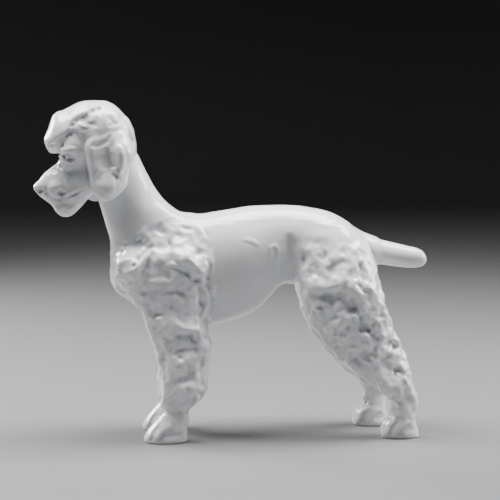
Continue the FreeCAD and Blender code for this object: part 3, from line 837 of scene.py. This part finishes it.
def coat_height(clay, mask):
    """The random part of the coat's relief: broad swells, and spoonfuls of three sizes."""
    height = 0.5 * clay.noise(9, SEED + 8) + 0.5 * (0.45 - np.abs(clay.noise(6.5, SEED + 9)))
    height += 0.3 * (0.45 - np.abs(clay.noise(3.4, SEED + 10)))
    for spacing, length, width, depth, merge in SCOOPS:
        height += scoops(clay, mask, spacing, length, width, depth, merge) + 0.45 * depth
    return height


# The strokes of each quarter, how far from the middle they start, and how firmly they are pressed.
COATS = [(MANE_STROKES, 7, 1), (FORE_STROKES, 17, 1.3), (HIND_STROKES, 12, 1.2)]


def model_coat(clay):
    """Works the relief of the hair into the clay. The strokes on the right vary at random."""
    mask = coat_mask(clay)
    x, y, z = clay.places()
    gx, gy, gz = clay.slopes()
    sideways = np.abs(gy) / np.sqrt(gx * gx + gy * gy + gz * gz + 1e-6)
    fore = 1 + 0.2 * ease((74 - z) / 10)
    hind = 1 + 0.7 * ease((84 - z) / 12) - 0.4 * ease((46 - z) / 12)
    strength = np.where(x < FORE_END, fore, hind) * (0.5 + 0.6 * sideways)
    clay.field -= mask * strength * smooth_min(0.35 + coat_height(clay, mask), 1.5, 1.0)
    rng = np.random.default_rng(SEED + 5)
    tool = Tool(clay, 6.0, 1.2, 0.35, SEED + 20)
    for strokes, start, firm in COATS:
        ledges = [stroke for stroke in strokes if len(stroke) == 4]
        others = [stroke for stroke in strokes if len(stroke) == 3]
        for chosen, broad, strong in ((ledges, 1.0, 0.9 * firm), (others, 1.25, 0.7 * firm)):
            tool.paint(clay, chosen, LEFT, start, 6, broad=broad, strong=strong)
            tool.paint(clay, chosen, RIGHT, start, 6, broad=broad, strong=strong, rng=rng)
    clay.soften(1)


# ---------------------------------------------------------------- the castings

NECK_SLOPE = math.tan(math.radians(25))
NECK_JOINT = NOSE_TIP + 44.5  # x where the sloping joint is as low as the casting
EAR_LOW = 130  # below both ears
CASTINGS = [
    "torso", "neck_and_head", "left_ear", "right_ear",
    "front_left_leg", "front_right_leg", "rear_left_leg", "rear_right_leg", "tail",
]


def divide(clay, before_ears, ears):
    """Numbers each grid point by its casting. 0 is outside."""
    x, y, z = clay.places()
    number = {name: i + 1 for i, name in enumerate(CASTINGS)}
    label = np.full(clay.field.shape, number["torso"], np.int8)

    def give(name, where):
        label[np.broadcast_to(where, label.shape)] = number[name]

    give("neck_and_head", z > NECK_LOW + (x - NECK_JOINT) * NECK_SLOPE)
    give("front_left_leg", (x < FORE_END) & (y < 0) & (z < FRONT_PLANE))
    give("front_right_leg", (x < FORE_END) & (y >= 0) & (z < FRONT_PLANE))
    give("rear_left_leg", (x > HIND_START) & (y < 0) & (z < REAR_PLANE))
    give("rear_right_leg", (x > HIND_START) & (y >= 0) & (z < REAR_PLANE))
    give("tail", (x > TAIL_PLANE) & (np.abs(y) < 9) & (z > 92))
    on_ear = (ears < before_ears) & (before_ears > -0.4) & (z > EAR_LOW)
    give("left_ear", on_ear & (y < -5))
    give("right_ear", on_ear & (y > 5))
    label[clay.field > 0] = 0
    return label


CORNERS = np.array([(i >> 2 & 1, i >> 1 & 1, i & 1) for i in range(8)])
CELL_EDGES = [(a, b) for a in range(8) for b in range(a + 1, 8)
              if np.abs(CORNERS[a] - CORNERS[b]).sum() == 1]


def skin(clay, label):
    """Surface points and four-sided faces between differently numbered grid points, casting by casting."""
    field = clay.field
    active = np.zeros(np.array(label.shape) - 1, bool)
    crossings = []
    for axis in range(3):
        a = np.take(label, np.arange(label.shape[axis] - 1), axis)
        b = np.take(label, np.arange(1, label.shape[axis]), axis)
        at = np.argwhere(a != b)
        others = [k for k in range(3) if k != axis]
        keep = np.all((at[:, others] > 0) & (at[:, others] < np.array(label.shape)[others] - 1), axis=1)
        at = at[keep]
        ring = []
        for s, t in ((-1, -1), (0, -1), (0, 0), (-1, 0)):
            cell = at.copy()
            cell[:, others[0]] += s
            cell[:, others[1]] += t
            active[tuple(cell.T)] = True
            ring.append(cell)
        crossings.append((axis, at, ring))
    cells = np.argwhere(active)
    index = np.full(active.shape, -1, np.int32)
    index[active] = np.arange(len(cells))
    values = np.stack([field[tuple((cells + c).T)] for c in CORNERS], 1)
    names = np.stack([label[tuple((cells + c).T)] for c in CORNERS], 1)
    total, count = np.zeros((len(cells), 3)), np.zeros(len(cells))
    seam_total, seam_count = np.zeros((len(cells), 3)), np.zeros(len(cells))
    for a, b in CELL_EDGES:
        skin_edge = (names[:, a] == 0) != (names[:, b] == 0)
        gap = values[:, a] - values[:, b]
        t = np.clip(values[:, a] / np.where(np.abs(gap) < 1e-9, 1, gap), 0.02, 0.98)
        point = CORNERS[a] + t[:, None] * (CORNERS[b] - CORNERS[a])
        total += point * skin_edge[:, None]
        count += skin_edge
        seam_edge = (names[:, a] != names[:, b]) & ~skin_edge
        seam_total += (CORNERS[a] + CORNERS[b]) / 2 * seam_edge[:, None]
        seam_count += seam_edge
    on_skin = count > 0
    offset = np.where(on_skin[:, None], total / np.maximum(count, 1)[:, None],
                      seam_total / np.maximum(seam_count, 1)[:, None])
    places = (cells + offset).T
    points = np.stack([np.interp(v, np.arange(len(a)), a) for v, a in zip(places, clay.axes)], 1)
    faces = {i: [] for i in range(1, len(CASTINGS) + 1)}
    for axis, at, ring in crossings:
        a = label[tuple(at.T)]
        up = at.copy()
        up[:, axis] += 1
        b = label[tuple(up.T)]
        quad = np.stack([index[tuple(c.T)] for c in ring], 1)
        if axis == 1:
            quad = quad[:, ::-1]
        for i in faces:
            faces[i] += [quad[a == i], quad[b == i][:, ::-1]]
    return points, on_skin, {i: np.vstack(f) for i, f in faces.items()}


def settle(clay, points, on_skin, rounds=3):
    """Moves the surface points onto the zero of the field. Returns them and their normals."""
    slopes = clay.slopes()
    home = points[on_skin]
    p = home
    for _ in range(rounds):
        g = np.stack([sample(s, clay, p) for s in slopes], 1)
        steep = np.maximum((g * g).sum(1), 0.05)
        p = p - (sample(clay.field, clay, p) / steep)[:, None] * g
        p = home + np.clip(p - home, -0.7 * STEP, 0.7 * STEP)
    g = np.stack([sample(s, clay, p) for s in slopes], 1)
    settled = points.copy()
    settled[on_skin] = p
    normals = np.tile((0.0, 0.0, 1.0), (len(points), 1))
    normals[on_skin] = g / np.maximum(np.linalg.norm(g, axis=1), 1e-6)[:, None]
    return settled, normals


def hollowness(clay, points):
    """How deep each point lies in a hollow of the surface, from 0 to 1."""
    blurred = clay.copy()
    blurred.soften(int(round(4 * (0.6 / STEP) ** 2)))
    return np.clip(-sample(blurred.field, blurred, points) / 0.25, 0, 1)


def build_piece(name, points, normals, quads, hollows):
    used, quads = np.unique(quads, return_inverse=True)
    quads = quads.reshape(-1, 4)
    mesh = bpy.data.meshes.new(name)
    mesh.vertices.add(len(used))
    mesh.vertices.foreach_set("co", (points[used] * MM).astype(np.float32).ravel())
    mesh.loops.add(quads.size)
    mesh.loops.foreach_set("vertex_index", quads.astype(np.int32).ravel())
    mesh.polygons.add(len(quads))
    mesh.polygons.foreach_set("loop_start", (np.arange(len(quads)) * 4).astype(np.int32))
    mesh.polygons.foreach_set("use_smooth", np.ones(len(quads), bool))
    mesh.update(calc_edges=True)
    mesh.normals_split_custom_set_from_vertices(normals[used].tolist())
    attribute = mesh.attributes.new("hollow", "FLOAT", "POINT")
    attribute.data.foreach_set("value", hollows[used].astype(np.float32))
    piece = bpy.data.objects.new(name, mesh)
    bpy.context.scene.collection.objects.link(piece)
    return piece


# ---------------------------------------------------------------- the materials

MIX_SHARE, MIX_FIRST, MIX_SECOND = 0, 6, 7  # the sockets of a mix node that mixes colours
MIX_COLOUR = 2
GLAZE_TINTS = (0.845, 0.85, 0.86, 1), (0.80, 0.812, 0.83, 1)
# Glaze colour in the deepest hollows: partly pooled glaze, partly painted shade.
POOLED_GLAZE_AND_SHADE = (0.60, 0.63, 0.67, 1)
FLOOR_TONES = (0.19, 0.19, 0.194, 1), (0.21, 0.21, 0.213, 1)


def node(tree, kind, **values):
    made = tree.nodes.new(kind)
    for key, value in values.items():
        if key in made.inputs:
            made.inputs[key].default_value = value
        else:
            setattr(made, key, value)
    return made


def mixed(tree, share, first, second):
    """The colour between first and second, by the share of the second. Both are colours or outputs."""
    mix = node(tree, "ShaderNodeMix", data_type="RGBA")
    tree.links.new(share, mix.inputs[MIX_SHARE])
    for socket, colour in ((MIX_FIRST, first), (MIX_SECOND, second)):
        if isinstance(colour, tuple):
            mix.inputs[socket].default_value = colour
        else:
            tree.links.new(colour, mix.inputs[socket])
    return mix.outputs[MIX_COLOUR]


def glazed_porcelain():
    """White glaze that drifts in tint and gloss and ripples faintly. Its hollows are painted darker: partly
    glaze that pools there, partly painted shade.
    """
    material = bpy.data.materials.new("glazed_porcelain")
    material.use_nodes = True
    tree = material.node_tree
    shader = tree.nodes["Principled BSDF"]
    shader.inputs["IOR"].default_value = 1.5
    shader.inputs["Subsurface Weight"].default_value = 0.06
    shader.inputs["Subsurface Radius"].default_value = (1.0, 0.8, 0.65)
    shader.inputs["Subsurface Scale"].default_value = 0.001
    shader.inputs["Coat Weight"].default_value = 0.6
    shader.inputs["Coat Roughness"].default_value = 0.04
    where = node(tree, "ShaderNodeTexCoord")
    pool_and_shade = node(tree, "ShaderNodeAttribute", attribute_name="hollow")
    drift = node(tree, "ShaderNodeTexNoise", Scale=28.0, Detail=3.0, Roughness=0.55)
    tree.links.new(where.outputs["Object"], drift.inputs["Vector"])
    tint = mixed(tree, drift.outputs["Fac"], *GLAZE_TINTS)
    # The hollows are painted darker, partly for pooled glaze and partly as painted shade.
    pooled_and_shaded = mixed(tree, pool_and_shade.outputs["Fac"], tint, POOLED_GLAZE_AND_SHADE)
    tree.links.new(pooled_and_shaded, shader.inputs["Base Color"])
    gloss = node(tree, "ShaderNodeMapRange")
    gloss.inputs["To Min"].default_value = 0.10
    gloss.inputs["To Max"].default_value = 0.24
    tree.links.new(drift.outputs["Fac"], gloss.inputs["Value"])
    tree.links.new(gloss.outputs["Result"], shader.inputs["Roughness"])
    ripple = node(tree, "ShaderNodeTexNoise", Scale=260.0, Detail=2.0)
    tree.links.new(where.outputs["Object"], ripple.inputs["Vector"])
    bump = node(tree, "ShaderNodeBump", Strength=0.25, Distance=0.0002)
    tree.links.new(ripple.outputs["Fac"], bump.inputs["Height"])
    tree.links.new(bump.outputs["Normal"], shader.inputs["Normal"])
    return material


def floor_material():
    material = bpy.data.materials.new("floor")
    material.use_nodes = True
    tree = material.node_tree
    shader = tree.nodes["Principled BSDF"]
    shader.inputs["Roughness"].default_value = 0.55
    grain = node(tree, "ShaderNodeTexNoise", Scale=9.0, Detail=4.0)
    tone = mixed(tree, grain.outputs["Fac"], *FLOOR_TONES)
    tree.links.new(tone, shader.inputs["Base Color"])
    return material


# ---------------------------------------------------------------- the figure

def head_hair(clay):
    """Shallow facets over the topknot."""
    x, y, z = clay.places()
    hx, _ = to_head(x, y)
    on = ease((z - 170) / 8) * ease((-54 - hx) / 3)
    return (on * (0.35 * clay.noise(7, SEED + 6) + 0.2 * clay.noise(3.2, SEED + 7))).astype(np.float32)


def model_dog():
    """The dog without its ears. The grid is fine round the head."""
    low, high = (np.array(v) / MM for v in CAD_BOX)
    ear_low, ear_high = edges("left_ear")
    fine_low = (low[0] - 9, -FAR, ear_low[2] - 12)
    fine_high = (ear_high[0] + 4, -FAR, high[2] + 9)
    clay = Clay(low - (4, 4, 3), high + (4, 4, 4), fine_low, fine_high)
    model_body(clay)
    model_head(clay)
    clay.soften(2)
    clay.true_up()
    model_coat(clay)
    model_paws(clay)
    clay.field -= head_hair(clay) + 0.24 * clay.noise(12, SEED + 11) + 0.09 * clay.noise(5, SEED + 12)
    return clay


def model_ears(clay, tool):
    """Adds the ears. Returns how far each grid point is from them."""
    ears = np.full(clay.field.shape, FAR, np.float32)
    for side in (LEFT, RIGHT):
        form = ear(side)
        cuts, x, y, z = clay.window(form.low, form.high, 5)
        flap = form.distance(x, y, z)
        ears[cuts] = np.minimum(ears[cuts], flap)
        clay.field[cuts] = smooth_min(clay.field[cuts], flap, 0.8)
        tool.paint(clay, ear_strokes(side), side, 13, 4, head=True, sharp=False)
    return ears


def model_figure():
    clay = model_dog()
    tool = Tool(clay, 4.0, 0.35, 0.0, SEED + 30)
    for side in (LEFT, RIGHT):
        tool.paint(clay, FLANK_STROKES, side, 4, 8, sharp=False)
        tool.paint(clay, TOPKNOT_STROKES, side, 3, 5, head=True)
        tool.paint(clay, FACE_STROKES, side, 0.6, 2.2, head=True, sharp=False)
    before_ears = clay.field.copy()
    ears = model_ears(clay, tool)
    z = clay.places()[2]
    clay.field = smooth_max(clay.field, GROUND - z, 0.6).astype(np.float32)
    clay.true_up()
    points, on_skin, faces = skin(clay, divide(clay, before_ears, ears))
    points, normals = settle(clay, points, on_skin)
    # How deep each point lies in a hollow. The glaze is painted darker there, partly pooled glaze and partly
    # painted shade.
    hollows = hollowness(clay, points)
    material = glazed_porcelain()
    for i, name in enumerate(CASTINGS):
        piece = build_piece("porcelain_" + name, points, normals, faces[i + 1], hollows)
        piece.data.materials.append(material)
        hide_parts(name)
        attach(piece, "root")


# ---------------------------------------------------------------- the studio

AROUND = 96  # points round the floor
FLAT, BEND, WALL = 2.2, 1.0, 2.4  # metres: the flat's radius, the bend's radius and the wall's height
LIGHTS_AIM = Vector((0, 0, 0.1))
LENS = 105.264  # millimetres, with a sensor 36 wide


def floor_mesh():
    """A round floor that bends up into a wall."""
    bends = np.radians(np.arange(7.5, 91, 7.5))
    profile = [(0.3, 0), (FLAT, 0)]
    profile += [(FLAT + BEND * math.sin(a), BEND * (1 - math.cos(a))) for a in bends]
    profile.append((FLAT + BEND, BEND + WALL))
    turns = np.arange(AROUND) * math.tau / AROUND
    corners = [(0, 0, 0)]
    faces = [(0, 1 + i, 1 + (i + 1) % AROUND) for i in range(AROUND)]
    for k, (out, up) in enumerate(profile):
        corners += [(out * math.cos(a), out * math.sin(a), up) for a in turns]
        if k:
            inner, outer = 1 + (k - 1) * AROUND, 1 + k * AROUND
            for i in range(AROUND):
                j = (i + 1) % AROUND
                faces.append((inner + i, outer + i, outer + j, inner + j))
    mesh = bpy.data.meshes.new("floor")
    mesh.from_pydata(corners, [], faces)
    mesh.polygons.foreach_set("use_smooth", [True] * len(faces))
    mesh.materials.append(floor_material())
    return mesh


def build_floor():
    floor = bpy.data.objects.new("floor", floor_mesh())
    floor.location.z = GROUND * MM
    bpy.context.scene.collection.objects.link(floor)


def light(name, place, size, power):
    data = bpy.data.lights.new(name, "AREA")
    data.shape = "RECTANGLE"
    data.size, data.size_y = size
    data.energy = power
    lamp = bpy.data.objects.new(name, data)
    lamp.location = place
    lamp.rotation_euler = (LIGHTS_AIM - Vector(place)).to_track_quat("-Z", "Y").to_euler()
    bpy.context.scene.collection.objects.link(lamp)


def build_lights():
    world = bpy.data.worlds.new("studio")
    world.use_nodes = True
    background = world.node_tree.nodes["Background"]
    background.inputs["Color"].default_value = (0.62, 0.64, 0.68, 1)
    background.inputs["Strength"].default_value = 0.03
    bpy.context.scene.world = world
    light("overhead", (0, 0.02, 0.74), (1.25, 0.34), 24.0)
    light("right", (0.75, 0.05, 0.35), (0.35, 0.35), 5.0)
    light("rear_left", (-0.6, 0.5, 0.4), (0.35, 0.35), 9.0)


def place_camera():
    """The photograph's view: from the dog's left, a little ahead of it and above its back."""
    low, high = CAD_BOX
    length = high.x - low.x
    aim = Vector(((low.x + high.x) / 2 + 0.0435 * length, 0, low.z + 0.4735 * length))
    turn, far = math.radians(-5), 3.705 * length
    data = bpy.data.cameras.new("camera")
    data.sensor_width = 36
    data.lens = LENS
    camera = bpy.data.objects.new("camera", data)
    ahead = (low.x + high.x) / 2 - 0.0074 * length
    camera.location = (math.sin(turn) * far + ahead, -math.cos(turn) * far, low.z + 0.8195 * length)
    camera.rotation_euler = (aim - camera.location).to_track_quat("-Z", "Y").to_euler()
    bpy.context.scene.collection.objects.link(camera)
    bpy.context.scene.camera = camera


model_figure()
build_floor()
build_lights()
place_camera()
